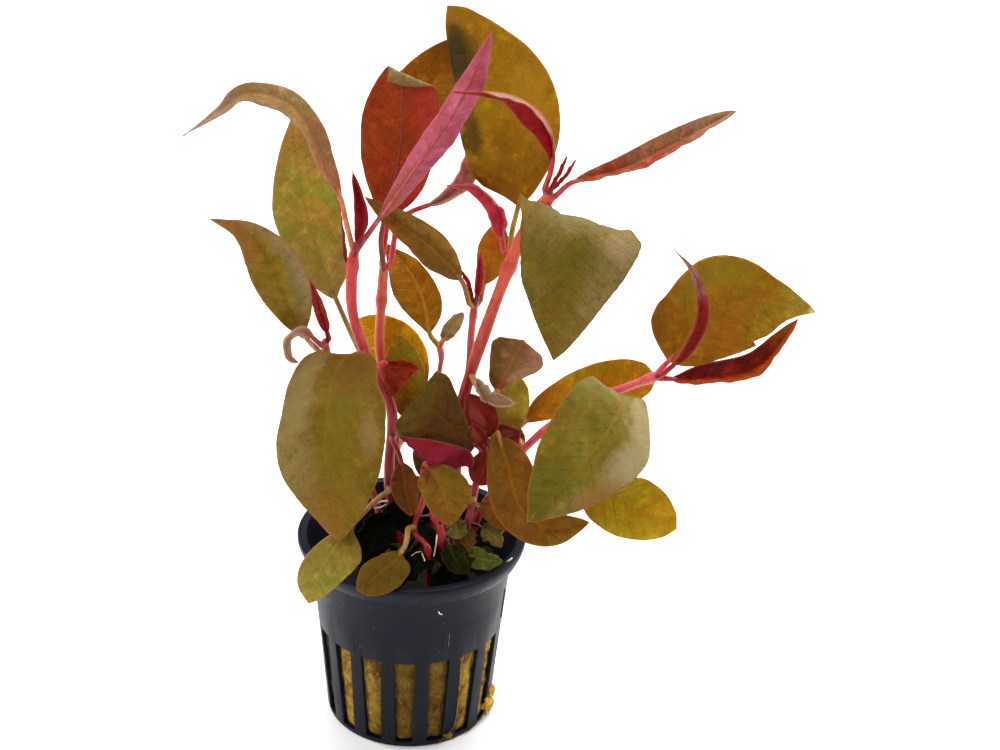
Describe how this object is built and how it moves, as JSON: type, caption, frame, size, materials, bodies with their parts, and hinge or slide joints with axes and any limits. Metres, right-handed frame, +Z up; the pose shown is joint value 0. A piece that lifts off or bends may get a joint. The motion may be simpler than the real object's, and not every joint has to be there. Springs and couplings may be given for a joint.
{
  "type": "potted aquarium stem plant",
  "caption": "Aquarium stem plant with olive, ochre and crimson leaves on red stems, rooted in rock wool in a dark slotted net pot.",
  "frame": {"origin": "middle of the pot's foot, on the underside of its solid hub, where the pot rests", "axes": "+Z up along the pot's axis, -Y towards the front of the plant as pictured, +X to the viewer's right"},
  "size_m": [0.1392, 0.0571, 0.1741],
  "materials": {
    "pot": "semi-matte moulded dark blue-grey plastic",
    "rock_wool": "pressed tan and brown mineral fibre",
    "stem": "smooth fleshy coral red stem",
    "leaf_olive": "satin olive upper face with fine veins",
    "leaf_green": "satin green upper face",
    "leaf_ochre": "satin ochre upper face",
    "leaf_orange": "satin orange to brick red face",
    "leaf_dark": "dark olive brown face",
    "leaf_crimson": "glossy crimson young leaf or underside",
    "leaf_pink": "pink underside",
    "leaf_grey": "dry silvery grey-brown leaf"
  },
  "bodies": {
    "root": {"pot": "pot", "rock_wool_plug": "rock_wool", "stem_left": "stem", "stem_back": "stem", "stem_tall": "stem", "stem_fork": "stem", "stem_right": "stem", "stem_thin": "stem", "stem_side": "stem", "stem_rosette": "stem", "shoot_front": "stem", "stump": "stem", "leaf_tall": "leaf_olive", "leaf_big": "leaf_olive", "leaf_left": "leaf_olive", "leaf_olive": "leaf_olive", "leaf_spill_left": "leaf_olive", "leaf_wide_right": "leaf_olive", "pot_leaf_3": "leaf_olive", "pot_leaf_4": "leaf_olive", "leaf_hanging": "leaf_green", "leaf_lime": "leaf_green", "leaf_green": "leaf_green", "pot_leaf_5": "leaf_green", "leaf_arching": "leaf_ochre", "leaf_brown": "leaf_ochre", "leaf_yellow": "leaf_ochre", "leaf_crown": "leaf_ochre", "leaf_gold": "leaf_ochre", "leaf_spill_front": "leaf_ochre", "leaf_small_right": "leaf_ochre", "leaf_low_right": "leaf_ochre", "leaf_ochre": "leaf_ochre", "leaf_red": "leaf_orange", "leaf_veined": "leaf_orange", "leaf_spear": "leaf_orange", "leaf_orange": "leaf_orange", "leaf_sweep": "leaf_orange", "leaf_stub": "leaf_orange", "leaf_dark": "leaf_dark", "leaf_centre": "leaf_dark", "leaf_narrow": "leaf_dark", "pot_leaf_1": "leaf_dark", "pot_leaf_2": "leaf_dark", "leaf_young_left": "leaf_crimson", "leaf_triangle": "leaf_crimson", "leaf_young_side": "leaf_crimson", "leaf_loop": "leaf_crimson", "leaf_claw": "leaf_crimson", "leaf_young_fork": "leaf_crimson", "leaf_crimson_up": "leaf_crimson", "leaf_crimson_down": "leaf_crimson", "leaf_maroon": "leaf_crimson", "leaf_hook": "leaf_crimson", "leaf_pink": "leaf_pink", "leaf_pale": "leaf_pink", "leaf_magenta": "leaf_pink", "leaf_curl_small": "leaf_grey", "leaf_grey": "leaf_grey", "leaf_dry": "leaf_grey"}
  },
  "joints": []
}
